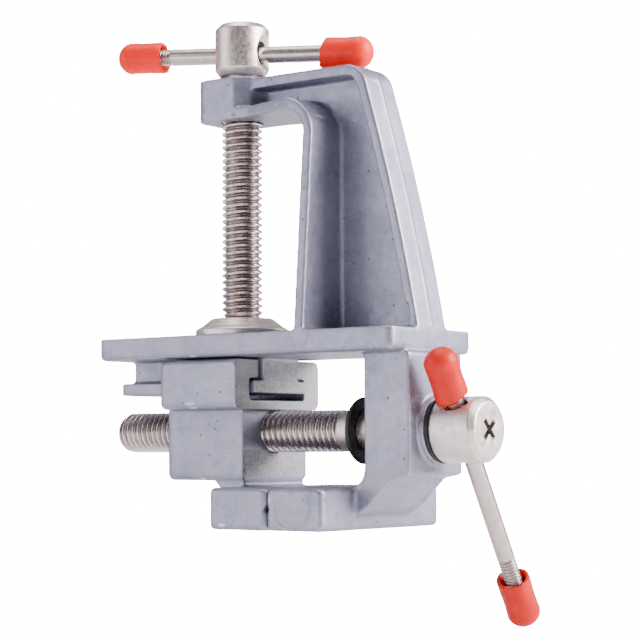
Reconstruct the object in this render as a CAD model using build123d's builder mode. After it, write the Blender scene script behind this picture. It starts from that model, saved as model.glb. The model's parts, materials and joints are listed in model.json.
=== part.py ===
"""Small clamp-on bench vise, in millimetres.

Origin: the clamp screw's axis where it meets the plate's clamping face.
+X runs along the vise screw towards its head, and +Z from the plate towards the clamp screw's head.
"""
from build123d import *
from math import cos, radians, sin
import os

os.makedirs("parts", exist_ok=True)

# Screws: 3/8 inch, 16 threads to the inch
SCREW_D = 9.5
SCREW_R = SCREW_D / 2
RUNNING_GAP = 0.05            # radial clearance of each screw in its hole

# Plate, with its clamping face at z = 0
PLATE_LEFT = -31.5
PLATE_RIGHT = 53.5
PLATE_WIDTH = 31.4
PLATE_THICK = 5.3
PLATE_CORNER = 1.6
PLATE_EDGE = 1.2

# T rail under the plate
RAIL_LEFT = -30.0
RAIL_RIGHT = 11.6
RAIL_STEM_WIDTH = 12.9
RAIL_FLANGE_WIDTH = 19.4
RAIL_FLANGE_TOP = -10.4
RAIL_FLANGE_BOTTOM = -13.4
RAIL_FLANGE_CORNER = 1.5
RAIL_STEM_INSET = 1.6         # how far the stem's left end stands back from the flange's

# C-shaped arm: a web with a wide flange round the throat and a narrow one outside
ARM_TOP = 59.7
ARM_BOTTOM = 50.2
ARM_LEFT = -7.9
BOSS_HALF_WIDTH = 7.9
BOSS_CORNER = 3.0
BOSS_TOP = 60.3
BOSS_OVERLAP = 1.0            # how far the arm's own outline stops inside the boss
SPINE_INNER_X = 27.1
SPINE_BOW_X, SPINE_BOW_Z = 47.4, 28.0
SPINE_TOP_X = 38.4
WEB_HALF = 1.2
BOSS_SHOULDER_X = 3.8         # where the boss starts to narrow towards the arm
BOSS_NECK_X = 7.1
BOSS_TAIL_X = 8.9
OUTER_FLANGE_HALF = 5.6
INNER_FLANGE_HALF_LOW = PLATE_WIDTH / 2
INNER_FLANGE_HALF_HIGH = 12.2
FLANGE_THICK = 2.6
THROAT_CORNER = 6.0
OUTER_CORNER = 6.0

# Vise screw
AXIS_Z = -22.1
VISE_SCREW_LEFT = -35.6
VISE_HEAD_LEFT = 56.6
VISE_HEAD_RIGHT = 67.9
VISE_HEAD_R = 7.15
VISE_HEAD_CHAMFER = 1.2
RING_X = 35.0                 # left face of the retaining ring
RING_THICK = 1.1
RING_R = 7.5
RING_GROOVE_R = 4.0
WASHER_THICK = 0.85
WASHER_R = 7.3

# Bracket that carries the vise screw, and the fixed jaw under it
BRACKET_LEFT = 42.2
BRACKET_RIGHT = 54.3
BRACKET_HALF_WIDTH = 10.4
BRACKET_BOTTOM = -31.8
BRACE_TOP_Z = -30.5           # where the bracket's left face turns into the jaw's top
BRACE_LEFT = 38.2
BRACE_HOLLOW = (41.0, -33.3)
BRACE_BACK = [(49.9, -32.7), (43.9, -38.7)]
BRACE_FOOT_Z = -41.4
BOSS_R = 7.4
BOSS_RIGHT = VISE_HEAD_LEFT - WASHER_THICK

# Jaws
JAW_WIDTH = 45.0
JAW_TOP = -34.5
JAW_BOTTOM = -43.8
JAW_PLANE = 24.7
FIXED_JAW_RIGHT = 39.9
MOVING_JAW_LEFT = 8.5
JAW_CORNER = 1.3
JAW_EDGE = 1.0
GROOVE_DEPTH = 0.9

# Moving jaw's block
BLOCK_LEFT = -12.8
BLOCK_RIGHT = 10.5
BLOCK_TOP = -5.6
BLOCK_STEP_Z = -17.1
BLOCK_BOTTOM = -33.3
BLOCK_WIDTH = 31.2
BLOCK_LOW_WIDTH = 23.8
BLOCK_CORNER = 2.0
BLOCK_EDGE = 1.5
BLOCK_SAWN_OFF = 4.0          # length cut from the casting to leave the flat right face
BLOCK_LOW_SHIFT = -0.8        # the lower part stands a little to the left of the upper one
RAIL_GAP = 0.3
SLOT_BOTTOM = RAIL_FLANGE_BOTTOM - 1.4

# Tommy bars and their caps
ROD_D = 3.95
ROD_R = ROD_D / 2
ROD_LENGTH = 62.0
CAP_LENGTH = 13.0
CAP_R = 3.8
CAP_MOUTH_CHAMFER = 0.9
CAP_HOLE_DEPTH = 10.2
CROSS_HOLE_R = 2.7
CROSS_SINK_R = 4.2

# Clamp screw and its swivel pad
CLAMP_HEAD_LOW = 61.3
CLAMP_HEAD_HIGH = 73.9
CLAMP_HEAD_R = 6.35
CLAMP_HEAD_TOP_CHAMFER = 1.3
CLAMP_HEAD_LOW_CHAMFER = 1.2
CLAMP_HOLE_Z = 66.95
CLAMP_BAR_Z = 66.7            # the bar rests low in its loose hole
CLAMP_BAR_TURN = 12.0         # degrees from +X towards +Y
CLAMP_BAR_TILT = 3.6          # degrees that its right end hangs down
CLAMP_BAR_REACH = 20.5        # from the bar's middle to the mouth of each cap
CLAMP_BAR_SHIFT = 0.2         # how far the bar stands off centre in the head
PAD_FOOT = 0.05
PAD_R = 11.0
PAD_RIM = 1.9
PAD_TOP = 4.3
PAD_TOP_R = 7.1
BUTTON_R = 4.2                # swivel button on the screw's end
BUTTON_LOW = 1.2
BUTTON_HIGH = 2.7
NECK_R = 2.8
SWIVEL_GAP = 0.1

# Vise bar: leaning about the screw, slid down until its upper cap seats in the head's countersink
VISE_BAR_X = 61.2
VISE_BAR_LEAN = 28.8          # degrees from +Z towards -Y
VISE_BAR_TILT = 1.5           # degrees that its upper end leans towards -X
VISE_BAR_REACH = 21.3
CAP_SEAT = 6.5                # from the screw's axis to the seated cap's mouth
VISE_BAR_SHIFT = CAP_SEAT - VISE_BAR_REACH

# Cross recess in each head
RECESS_SPAN = 5.6
RECESS_SLOT = 1.2
RECESS_DEPTH = 1.8


def plane_at(x, y, z, x_dir, z_dir):
    return Plane(origin=(x, y, z), x_dir=x_dir, z_dir=z_dir)


# Planes whose normals run along each screw and each bar
VISE_LINE = plane_at(0, 0, AXIS_Z, (0, 1, 0), (1, 0, 0))
ACROSS = Plane.XZ             # sketches seen from the front, as (x, z)
CLAMP_HOLE_DIR = (cos(radians(CLAMP_BAR_TURN)), sin(radians(CLAMP_BAR_TURN)), 0)
CLAMP_HOLE_LINE = plane_at(0, 0, CLAMP_HOLE_Z, (0, 0, 1), CLAMP_HOLE_DIR)
CLAMP_BAR_LINE = plane_at(
    0, 0, CLAMP_BAR_Z, (0, 0, 1),
    (
        cos(radians(CLAMP_BAR_TURN)) * cos(radians(CLAMP_BAR_TILT)),
        sin(radians(CLAMP_BAR_TURN)) * cos(radians(CLAMP_BAR_TILT)),
        -sin(radians(CLAMP_BAR_TILT)),
    ),
)
VISE_HOLE_DIR = (0, -sin(radians(VISE_BAR_LEAN)), cos(radians(VISE_BAR_LEAN)))
VISE_HOLE_LINE = plane_at(VISE_BAR_X, 0, AXIS_Z, (1, 0, 0), VISE_HOLE_DIR)
VISE_BAR_LINE = plane_at(
    VISE_BAR_X, 0, AXIS_Z, (1, 0, 0),
    (
        -sin(radians(VISE_BAR_TILT)),
        -sin(radians(VISE_BAR_LEAN)) * cos(radians(VISE_BAR_TILT)),
        cos(radians(VISE_BAR_LEAN)) * cos(radians(VISE_BAR_TILT)),
    ),
)


def along(line, distance):
    return line.offset(distance)


def facing_back(line, distance):
    """Plane at the same distance on the other side, facing the other way."""
    return Plane(origin=line.offset(-distance).origin, x_dir=line.x_dir, z_dir=-line.z_dir)


# Wide flange round the throat: one strip up the spine and along under the arm, then trimmed in
# side view and in plan to its tapering width
with BuildPart() as throat_flange:
    with BuildSketch(ACROSS):
        with BuildLine():
            FilletPolyline(
                (SPINE_INNER_X, 0),
                (SPINE_INNER_X, ARM_BOTTOM),
                (ARM_LEFT, ARM_BOTTOM),
                radius=THROAT_CORNER,
            )
            Line((ARM_LEFT, ARM_BOTTOM), (ARM_LEFT, ARM_BOTTOM + FLANGE_THICK))
            FilletPolyline(
                (ARM_LEFT, ARM_BOTTOM + FLANGE_THICK),
                (SPINE_INNER_X + FLANGE_THICK, ARM_BOTTOM + FLANGE_THICK),
                (SPINE_INNER_X + FLANGE_THICK, 0),
                radius=THROAT_CORNER + FLANGE_THICK,
            )
            Line((SPINE_INNER_X + FLANGE_THICK, 0), (SPINE_INNER_X, 0))
        make_face()
    extrude(amount=INNER_FLANGE_HALF_LOW, both=True)
    with BuildSketch(Plane.YZ):
        with BuildLine():
            Polyline(
                (-INNER_FLANGE_HALF_LOW, 0),
                (-INNER_FLANGE_HALF_HIGH, ARM_BOTTOM - THROAT_CORNER),
                (-INNER_FLANGE_HALF_HIGH, ARM_TOP),
                (INNER_FLANGE_HALF_HIGH, ARM_TOP),
                (INNER_FLANGE_HALF_HIGH, ARM_BOTTOM - THROAT_CORNER),
                (INNER_FLANGE_HALF_LOW, 0),
                close=True,
            )
        make_face()
    extrude(amount=PLATE_RIGHT, both=True, mode=Mode.INTERSECT)
    with BuildSketch(Plane.XY):
        with BuildLine():
            Polyline(
                (0, -BOSS_HALF_WIDTH),
                (BOSS_HALF_WIDTH, -BOSS_HALF_WIDTH),
                (SPINE_INNER_X - 4, -INNER_FLANGE_HALF_HIGH),
                (SPINE_INNER_X - 1, -INNER_FLANGE_HALF_LOW),
                (PLATE_RIGHT, -INNER_FLANGE_HALF_LOW),
                (PLATE_RIGHT, INNER_FLANGE_HALF_LOW),
                (SPINE_INNER_X - 1, INNER_FLANGE_HALF_LOW),
                (SPINE_INNER_X - 4, INNER_FLANGE_HALF_HIGH),
                (BOSS_HALF_WIDTH, BOSS_HALF_WIDTH),
                (0, BOSS_HALF_WIDTH),
                close=True,
            )
        make_face()
    extrude(amount=ARM_TOP, mode=Mode.INTERSECT)

ARM_END = ARM_LEFT + BOSS_OVERLAP

# Outline of the arm seen from the front, whole, and the pocket inside its flanges
with BuildSketch(ACROSS) as arm_outline:
    with BuildLine() as arm_edge:
        spine_back = ThreePointArc((PLATE_RIGHT, 0), (SPINE_BOW_X, SPINE_BOW_Z), (SPINE_TOP_X, ARM_TOP))
        Polyline((SPINE_TOP_X, ARM_TOP), (ARM_END, ARM_TOP), (ARM_END, ARM_BOTTOM))
        FilletPolyline(
            (ARM_END, ARM_BOTTOM),
            (SPINE_INNER_X, ARM_BOTTOM),
            (SPINE_INNER_X, 0),
            radius=THROAT_CORNER,
        )
        Line((SPINE_INNER_X, 0), (PLATE_RIGHT, 0))
    make_face()
    fillet(arm_outline.vertices().group_by(Axis.Y)[-1].sort_by(Axis.X)[-1], OUTER_CORNER)

with BuildSketch(ACROSS) as arm_pocket:
    add(arm_outline.sketch_local)
    offset(amount=-FLANGE_THICK, mode=Mode.REPLACE)
    with Locations(((SPINE_INNER_X + PLATE_RIGHT) / 2, FLANGE_THICK)):
        Rectangle(PLATE_RIGHT - SPINE_INNER_X - 2 * FLANGE_THICK, 2 * FLANGE_THICK)
    with Locations((0, -FLANGE_THICK)):
        Rectangle(4 * PLATE_RIGHT, 2 * FLANGE_THICK, mode=Mode.SUBTRACT)


def jaw_bar(left, right):
    """Bar between two x places, with all its edges rounded."""
    with BuildPart() as bar:
        with BuildSketch(Plane.XY.offset(JAW_BOTTOM)):
            with Locations(((left + right) / 2, 0)):
                RectangleRounded(right - left, JAW_WIDTH, JAW_CORNER)
        extrude(amount=JAW_TOP - JAW_BOTTOM)
        fillet(bar.faces().sort_by(Axis.Z)[0].edges(), JAW_EDGE)
        fillet(bar.faces().sort_by(Axis.Z)[-1].edges(), JAW_EDGE)
    return bar


fixed_jaw_bar = jaw_bar(JAW_PLANE, FIXED_JAW_RIGHT)
moving_jaw_bar = jaw_bar(MOVING_JAW_LEFT, JAW_PLANE)

with BuildPart() as frame_casting:
    # plate
    with BuildSketch(Plane.XY):
        with Locations(((PLATE_LEFT + PLATE_RIGHT) / 2, 0)):
            RectangleRounded(PLATE_RIGHT - PLATE_LEFT, PLATE_WIDTH, PLATE_CORNER)
    extrude(amount=-PLATE_THICK)
    fillet(frame_casting.faces().sort_by(Axis.Z)[0].edges(), PLATE_EDGE)

    # T rail: stem, then flange with a rounded end
    with BuildSketch(Plane.XY.offset(-PLATE_THICK)):
        with Locations(((RAIL_LEFT + RAIL_STEM_INSET + RAIL_RIGHT) / 2, 0)):
            Rectangle(RAIL_RIGHT - RAIL_LEFT - RAIL_STEM_INSET, RAIL_STEM_WIDTH)
    extrude(amount=RAIL_FLANGE_TOP + PLATE_THICK)
    with BuildSketch(Plane.XY.offset(RAIL_FLANGE_TOP)) as rail_flange_plan:
        with Locations(((RAIL_LEFT + RAIL_RIGHT) / 2, 0)):
            Rectangle(RAIL_RIGHT - RAIL_LEFT, RAIL_FLANGE_WIDTH)
        fillet(rail_flange_plan.vertices().group_by(Axis.X)[0], RAIL_FLANGE_CORNER)
    extrude(amount=RAIL_FLANGE_BOTTOM - RAIL_FLANGE_TOP)

    # arm: web, narrow outer flange, wide throat flange, and the screw's boss at the arm's end
    with BuildSketch(ACROSS.offset(-OUTER_FLANGE_HALF)):
        add(arm_outline.sketch_local)
    extrude(amount=2 * OUTER_FLANGE_HALF)
    with BuildSketch(ACROSS.offset(WEB_HALF)):
        add(arm_pocket.sketch_local)
    extrude(amount=OUTER_FLANGE_HALF, mode=Mode.SUBTRACT)
    with BuildSketch(ACROSS.offset(-WEB_HALF)):
        add(arm_pocket.sketch_local)
    extrude(amount=-OUTER_FLANGE_HALF, mode=Mode.SUBTRACT)
    add(throat_flange.part)
    with BuildSketch(Plane.XY.offset(ARM_BOTTOM)) as boss_plan:
        with BuildLine():
            Polyline(
                (ARM_LEFT, -BOSS_HALF_WIDTH),
                (BOSS_SHOULDER_X, -BOSS_HALF_WIDTH),
                (BOSS_NECK_X, -OUTER_FLANGE_HALF),
                (BOSS_TAIL_X, -WEB_HALF),
                (BOSS_TAIL_X, WEB_HALF),
                (BOSS_NECK_X, OUTER_FLANGE_HALF),
                (BOSS_SHOULDER_X, BOSS_HALF_WIDTH),
                (ARM_LEFT, BOSS_HALF_WIDTH),
                close=True,
            )
        make_face()
        fillet(boss_plan.vertices().group_by(Axis.X)[0], BOSS_CORNER)
    extrude(amount=BOSS_TOP - ARM_BOTTOM)

    # bracket, running down into the fixed jaw by a sloping brace
    with BuildSketch(ACROSS):
        with BuildLine():
            Polyline(
                (BRACKET_LEFT, -PLATE_THICK),
                (BRACKET_RIGHT, -PLATE_THICK),
                (BRACKET_RIGHT, BRACKET_BOTTOM),
                *BRACE_BACK,
                (FIXED_JAW_RIGHT - 1, BRACE_FOOT_Z),
                (FIXED_JAW_RIGHT - 1, JAW_TOP),
                (BRACE_LEFT, JAW_TOP),
            )
            ThreePointArc((BRACE_LEFT, JAW_TOP), BRACE_HOLLOW, (BRACKET_LEFT, BRACE_TOP_Z))
            Line((BRACKET_LEFT, BRACE_TOP_Z), (BRACKET_LEFT, -PLATE_THICK))
        make_face()
    extrude(amount=BRACKET_HALF_WIDTH, both=True)
    with BuildSketch(along(VISE_LINE, BRACKET_RIGHT - 1)):
        Circle(BOSS_R)
    extrude(amount=BOSS_RIGHT - BRACKET_RIGHT + 1)

    # fixed jaw
    add(fixed_jaw_bar.part)
    with BuildSketch(ACROSS):
        with Locations((JAW_PLANE, (JAW_TOP + JAW_BOTTOM) / 2)):
            Rectangle(2 * GROOVE_DEPTH / 1.414, 2 * GROOVE_DEPTH / 1.414, rotation=45)
    extrude(amount=JAW_WIDTH, both=True, mode=Mode.SUBTRACT)

    # holes for the two screws
    with BuildSketch(along(VISE_LINE, BRACKET_LEFT - 5)):
        Circle(SCREW_R + RUNNING_GAP)
    extrude(amount=BOSS_RIGHT - BRACKET_LEFT + 10, mode=Mode.SUBTRACT)
    with BuildSketch(Plane.XY.offset(ARM_BOTTOM - 1)):
        Circle(SCREW_R + RUNNING_GAP)
    extrude(amount=BOSS_TOP - ARM_BOTTOM + 2, mode=Mode.SUBTRACT)



def cast_block(left, right, width, low, high):
    """Block with rounded edges all round, sawn flat at its right end."""
    with BuildPart() as block:
        with BuildSketch(Plane.XY.offset(low)):
            with Locations(((left + right + BLOCK_SAWN_OFF) / 2, 0)):
                RectangleRounded(right + BLOCK_SAWN_OFF - left, width, BLOCK_CORNER)
        extrude(amount=high - low)
        fillet(block.faces().sort_by(Axis.Z)[0].edges(), BLOCK_EDGE)
        fillet(block.faces().sort_by(Axis.Z)[-1].edges(), BLOCK_EDGE)
        split(bisect_by=Plane.YZ.offset(right), keep=Keep.BOTTOM)
    return block


block_top = cast_block(BLOCK_LEFT, BLOCK_RIGHT, BLOCK_WIDTH, BLOCK_STEP_Z, BLOCK_TOP)
block_low = cast_block(
    BLOCK_LEFT + BLOCK_LOW_SHIFT, BLOCK_RIGHT + BLOCK_LOW_SHIFT, BLOCK_LOW_WIDTH,
    BLOCK_BOTTOM, BLOCK_STEP_Z + 2 * BLOCK_EDGE,
)

# Moving jaw: slotted block, jaw bar, and the gusset that joins them
with BuildPart() as moving_jaw:
    add(block_top.part)
    add(block_low.part)
    with BuildSketch(ACROSS):
        with BuildLine():
            Polyline(
                (0.5, BLOCK_BOTTOM + 1),
                (0.5, BLOCK_BOTTOM),
                (MOVING_JAW_LEFT, JAW_BOTTOM + 1.5),
                (MOVING_JAW_LEFT + 1, JAW_BOTTOM + 1.5),
                (MOVING_JAW_LEFT + 1, BLOCK_BOTTOM + 1),
                close=True,
            )
        make_face()
    extrude(amount=BLOCK_LOW_WIDTH / 2 - 1, both=True)
    add(moving_jaw_bar.part)
    with BuildSketch(ACROSS):
        with Locations((JAW_PLANE, (JAW_TOP + JAW_BOTTOM) / 2)):
            Rectangle(2 * GROOVE_DEPTH / 1.414, 2 * GROOVE_DEPTH / 1.414, rotation=45)
    extrude(amount=JAW_WIDTH, both=True, mode=Mode.SUBTRACT)

    # slot round the rail, open at both ends and at the top
    with BuildSketch(Plane.YZ.offset(BLOCK_LEFT - 1)):
        with Locations((0, (BLOCK_TOP + RAIL_FLANGE_TOP) / 2)):
            Rectangle(RAIL_STEM_WIDTH + 2 * RAIL_GAP, BLOCK_TOP - RAIL_FLANGE_TOP + 2)
        with Locations((0, (RAIL_FLANGE_TOP + RAIL_GAP + SLOT_BOTTOM) / 2)):
            Rectangle(RAIL_FLANGE_WIDTH + 2 * RAIL_GAP, RAIL_FLANGE_TOP + RAIL_GAP - SLOT_BOTTOM)
    extrude(amount=BLOCK_RIGHT - BLOCK_LEFT + 2, mode=Mode.SUBTRACT)
    with BuildSketch(along(VISE_LINE, BLOCK_LEFT - 5)):
        Circle(SCREW_R + RUNNING_GAP)
    extrude(amount=BLOCK_RIGHT - BLOCK_LEFT + 10, mode=Mode.SUBTRACT)

# Vise screw, with its head, its ring groove and its cross recess
with BuildPart() as vise_screw:
    with BuildSketch(along(VISE_LINE, VISE_SCREW_LEFT)):
        Circle(SCREW_R)
    extrude(amount=VISE_HEAD_LEFT - VISE_SCREW_LEFT)
    chamfer(vise_screw.faces().sort_by(Axis.X)[0].edges(), 1.2)
    with BuildSketch(along(VISE_LINE, VISE_HEAD_LEFT)):
        Circle(VISE_HEAD_R)
    extrude(amount=VISE_HEAD_RIGHT - VISE_HEAD_LEFT)
    chamfer(vise_screw.faces().sort_by(Axis.X)[-1].edges(), VISE_HEAD_CHAMFER)
    with BuildSketch(along(VISE_LINE, RING_X)):
        Circle(SCREW_R + 1)
        Circle(RING_GROOVE_R, mode=Mode.SUBTRACT)
    extrude(amount=RING_THICK, mode=Mode.SUBTRACT)
    with BuildSketch(along(VISE_LINE, VISE_HEAD_RIGHT)):
        Rectangle(RECESS_SPAN, RECESS_SLOT)
        Rectangle(RECESS_SLOT, RECESS_SPAN)
    extrude(amount=-RECESS_DEPTH, taper=12, mode=Mode.SUBTRACT)
    with Locations(along(VISE_HOLE_LINE, VISE_HEAD_R), facing_back(VISE_HOLE_LINE, VISE_HEAD_R)):
        CounterSinkHole(CROSS_HOLE_R, CROSS_SINK_R, depth=VISE_HEAD_R + 1)

# Washer between the boss and the head
with BuildPart() as thrust_washer:
    with BuildSketch(along(VISE_LINE, BOSS_RIGHT)):
        Circle(WASHER_R)
        Circle(SCREW_R + RUNNING_GAP, mode=Mode.SUBTRACT)
    extrude(amount=WASHER_THICK)

# Retaining ring, seated in the shank's groove
with BuildPart() as retaining_ring:
    with BuildSketch(along(VISE_LINE, RING_X)):
        Circle(RING_R)
        Circle(RING_GROOVE_R, mode=Mode.SUBTRACT)
    extrude(amount=RING_THICK)

# Clamp screw, with its head and the button that holds the pad
with BuildPart() as clamp_screw:
    with BuildSketch(Plane.XY.offset(BUTTON_LOW)):
        Circle(BUTTON_R)
    extrude(amount=BUTTON_HIGH - BUTTON_LOW)
    with BuildSketch(Plane.XY.offset(BUTTON_LOW)):
        Circle(NECK_R)
    extrude(amount=PAD_TOP + 0.5 - BUTTON_LOW)
    with BuildSketch(Plane.XY.offset(PAD_TOP + 0.4)):
        Circle(SCREW_R)
    extrude(amount=CLAMP_HEAD_LOW - PAD_TOP - 0.4)
    with BuildSketch(Plane.XY.offset(CLAMP_HEAD_LOW)):
        Circle(CLAMP_HEAD_R)
    extrude(amount=CLAMP_HEAD_HIGH - CLAMP_HEAD_LOW)
    chamfer(clamp_screw.faces().sort_by(Axis.Z)[-1].edges(), CLAMP_HEAD_TOP_CHAMFER)
    head_low_edge = clamp_screw.edges().filter_by(GeomType.CIRCLE).group_by(SortBy.RADIUS)[-1].sort_by(Axis.Z)[0]
    chamfer(head_low_edge, CLAMP_HEAD_LOW_CHAMFER)
    with BuildSketch(Plane.XY.offset(CLAMP_HEAD_HIGH)):
        Rectangle(RECESS_SPAN, RECESS_SLOT)
        Rectangle(RECESS_SLOT, RECESS_SPAN)
    extrude(amount=-RECESS_DEPTH, taper=12, mode=Mode.SUBTRACT)
    with Locations(along(CLAMP_HOLE_LINE, CLAMP_HEAD_R), facing_back(CLAMP_HOLE_LINE, CLAMP_HEAD_R)):
        CounterSinkHole(CROSS_HOLE_R, CROSS_SINK_R, depth=CLAMP_HEAD_R + 1)

# Swivel pad: a dished disc closed round the screw's button
with BuildPart() as clamp_pad:
    with BuildSketch(ACROSS):
        with BuildLine():
            Polyline(
                (0, PAD_FOOT),
                (PAD_R, PAD_FOOT),
                (PAD_R, PAD_RIM),
                (PAD_TOP_R, PAD_TOP),
                (NECK_R + SWIVEL_GAP, PAD_TOP),
                (NECK_R + SWIVEL_GAP, BUTTON_HIGH + SWIVEL_GAP),
                (BUTTON_R + SWIVEL_GAP, BUTTON_HIGH + SWIVEL_GAP),
                (BUTTON_R + SWIVEL_GAP, BUTTON_LOW - SWIVEL_GAP),
                (0, BUTTON_LOW - SWIVEL_GAP),
                close=True,
            )
        make_face()
    revolve(axis=Axis.Z)


def bar_rod(line, shift):
    """Rod of a tommy bar, centred at shift along its line."""
    with BuildPart() as rod:
        with BuildSketch(along(line, shift - ROD_LENGTH / 2)):
            Circle(ROD_R)
        extrude(amount=ROD_LENGTH)
        chamfer(rod.edges().filter_by(GeomType.CIRCLE), 0.4)
    return rod


def bar_cap(line, shift, reach, end):
    """Soft cap on one end of the rod: a blind sleeve with a domed tip."""
    mouth = plane_at(*along(line, shift + end * reach).origin, line.x_dir, line.z_dir * end)
    outward = Axis(mouth.origin, mouth.z_dir)
    with BuildPart() as cap:
        with BuildSketch(mouth):
            Circle(CAP_R)
        extrude(amount=CAP_LENGTH)
        fillet(cap.edges().sort_by(outward)[-1], CAP_R - 0.2)
        chamfer(cap.edges().sort_by(outward)[0], CAP_MOUTH_CHAMFER)
        with BuildSketch(mouth):
            Circle(ROD_R)
        extrude(amount=CAP_HOLE_DEPTH, mode=Mode.SUBTRACT)
    return cap


clamp_bar_rod = bar_rod(CLAMP_BAR_LINE, CLAMP_BAR_SHIFT)
clamp_bar_cap_right = bar_cap(CLAMP_BAR_LINE, CLAMP_BAR_SHIFT, CLAMP_BAR_REACH, 1)
clamp_bar_cap_left = bar_cap(CLAMP_BAR_LINE, CLAMP_BAR_SHIFT, CLAMP_BAR_REACH, -1)
vise_bar_rod = bar_rod(VISE_BAR_LINE, VISE_BAR_SHIFT)
vise_bar_cap_upper = bar_cap(VISE_BAR_LINE, VISE_BAR_SHIFT, VISE_BAR_REACH, 1)
vise_bar_cap_lower = bar_cap(VISE_BAR_LINE, VISE_BAR_SHIFT, VISE_BAR_REACH, -1)

PIECES = {
    "frame_casting": frame_casting,
    "moving_jaw": moving_jaw,
    "vise_screw": vise_screw,
    "thrust_washer": thrust_washer,
    "retaining_ring": retaining_ring,
    "vise_bar_rod": vise_bar_rod,
    "vise_bar_cap_upper": vise_bar_cap_upper,
    "vise_bar_cap_lower": vise_bar_cap_lower,
    "clamp_screw": clamp_screw,
    "clamp_pad": clamp_pad,
    "clamp_bar_rod": clamp_bar_rod,
    "clamp_bar_cap_left": clamp_bar_cap_left,
    "clamp_bar_cap_right": clamp_bar_cap_right,
}
for name, piece in PIECES.items():
    piece.part.label = name
    export_step(piece.part, f"parts/{name}.step")
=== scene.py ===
"""Small clamp-on bench vise: two aluminium castings, nickel-plated screws and soft red caps.

Lengths in the tables and functions below are in millimetres, and MM turns them into the frame's metres.
"""
import json
import math
import random

import bmesh
import bpy
import numpy as np
from mathutils import Matrix, Vector, noise


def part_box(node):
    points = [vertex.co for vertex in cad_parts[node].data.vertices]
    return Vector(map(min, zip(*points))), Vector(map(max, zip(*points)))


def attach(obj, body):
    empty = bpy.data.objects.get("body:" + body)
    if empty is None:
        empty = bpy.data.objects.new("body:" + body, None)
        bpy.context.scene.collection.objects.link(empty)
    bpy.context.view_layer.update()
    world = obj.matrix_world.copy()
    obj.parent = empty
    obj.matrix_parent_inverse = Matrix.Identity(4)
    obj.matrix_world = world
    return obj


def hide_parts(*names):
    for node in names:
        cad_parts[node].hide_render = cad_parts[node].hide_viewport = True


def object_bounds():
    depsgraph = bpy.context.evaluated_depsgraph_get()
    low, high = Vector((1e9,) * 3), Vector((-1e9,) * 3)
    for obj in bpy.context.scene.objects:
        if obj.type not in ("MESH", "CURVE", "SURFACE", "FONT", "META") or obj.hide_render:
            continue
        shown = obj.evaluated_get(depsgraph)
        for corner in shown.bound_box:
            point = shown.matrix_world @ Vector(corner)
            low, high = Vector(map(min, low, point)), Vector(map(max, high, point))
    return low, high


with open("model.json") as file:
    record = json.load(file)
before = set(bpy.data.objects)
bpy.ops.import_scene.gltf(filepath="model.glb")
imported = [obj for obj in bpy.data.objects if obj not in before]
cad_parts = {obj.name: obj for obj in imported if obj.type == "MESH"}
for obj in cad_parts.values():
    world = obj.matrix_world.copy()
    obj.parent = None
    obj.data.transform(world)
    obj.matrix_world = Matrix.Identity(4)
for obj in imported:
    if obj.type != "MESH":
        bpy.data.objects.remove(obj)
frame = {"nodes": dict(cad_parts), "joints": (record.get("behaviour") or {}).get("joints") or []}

CAD_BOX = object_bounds()
MM = 0.001
SEED = 11
rng = random.Random(SEED)
JOINTS = {joint["name"]: joint for joint in frame["joints"]}

# Screw threads: 3/8 inch with 16 threads to the inch, and the finer one on the bars' ends
PITCH = 1.5875
THREAD_DEPTH = 0.84
THREAD_R = 4.75
BAR_PITCH = 0.79
BAR_THREAD_DEPTH = 0.42
BAR_R = 1.965

# Heads of the two screws, and the hole through each for its bar
VISE_HEAD_R = 7.15
CLAMP_HEAD_R = 6.35
CLAMP_HEAD_LOW = 61.3
BAR_HOLE_R = 2.7
BAR_SINK_R = 4.1
CLAMP_HOLE_RISE = 0.25        # the bar rests this much below the middle of its hole

# Shank of the vise screw, and the two black rings on it
SHANK_R = THREAD_R - 0.1
THREAD_RUN_OUT = 30.7
RING_GROOVE_R = 4.05
RING_R = 7.5
WASHER_BORE_R = 4.9
WASHER_R = 7.25

# Swivel button at the clamp screw's foot, and the pad closed round it
BUTTON_R = 4.15
BUTTON_HIGH = 2.7
BUTTON_NECK_R = 2.8
PAD_R = 10.95
PAD_TOP_R = 7.1

# Soft caps
CAP_R = 3.78
CAP_BORE_R = 2.02
CAP_BORE_END = 9.8
CAP_DOME = 3.5
CAP_DOME_STEPS = 14
CAP_HIGH_SIDE = 0.6           # angle, about each bar, at which its caps' slanting mouths are highest

# Faces of the castings that carry pin marks
PLATE_FRONT = -15.7
JAW_FRONT = -22.5


# ---------------------------------------------------------------- places in the frame

class Line:
    """A straight axis in the row frame, with a matrix that carries local +Z on to it."""

    def __init__(self, origin, direction, side=(0, 0, 1)):
        self.origin = Vector(origin)
        self.z = Vector(direction).normalized()
        x = Vector(side) - self.z * self.z.dot(Vector(side))
        self.x = x.normalized()
        self.y = self.z.cross(self.x)

    def place(self, shift=0.0):
        """Matrix from local millimetres to the row frame, with local z = 0 at shift along the line."""
        turn = Matrix((self.x, self.y, self.z)).transposed().to_4x4()
        return Matrix.Translation(self.origin + self.z * shift * MM) @ turn @ Matrix.Scale(MM, 4)

    def crossed_by(self, other, rise=0.0):
        """Line square to this one, through the point where other passes it, moved rise millimetres along."""
        offset = other.origin - self.origin
        flat = offset - self.z * offset.dot(self.z)
        heading = other.z - self.z * other.z.dot(self.z)
        at = other.origin - other.z * flat.dot(heading) / heading.length_squared
        foot = self.origin + self.z * ((at - self.origin).dot(self.z) + rise * MM)
        return Line(foot, heading, side=self.z)

    def span(self, node):
        """Lowest and highest position along the line that a CAD node reaches, in millimetres."""
        along = [(v.co - self.origin).dot(self.z) / MM for v in frame["nodes"][node].data.vertices]
        return min(along), max(along)


def middle(node):
    low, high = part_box(node)
    return (low + high) / 2


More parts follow.
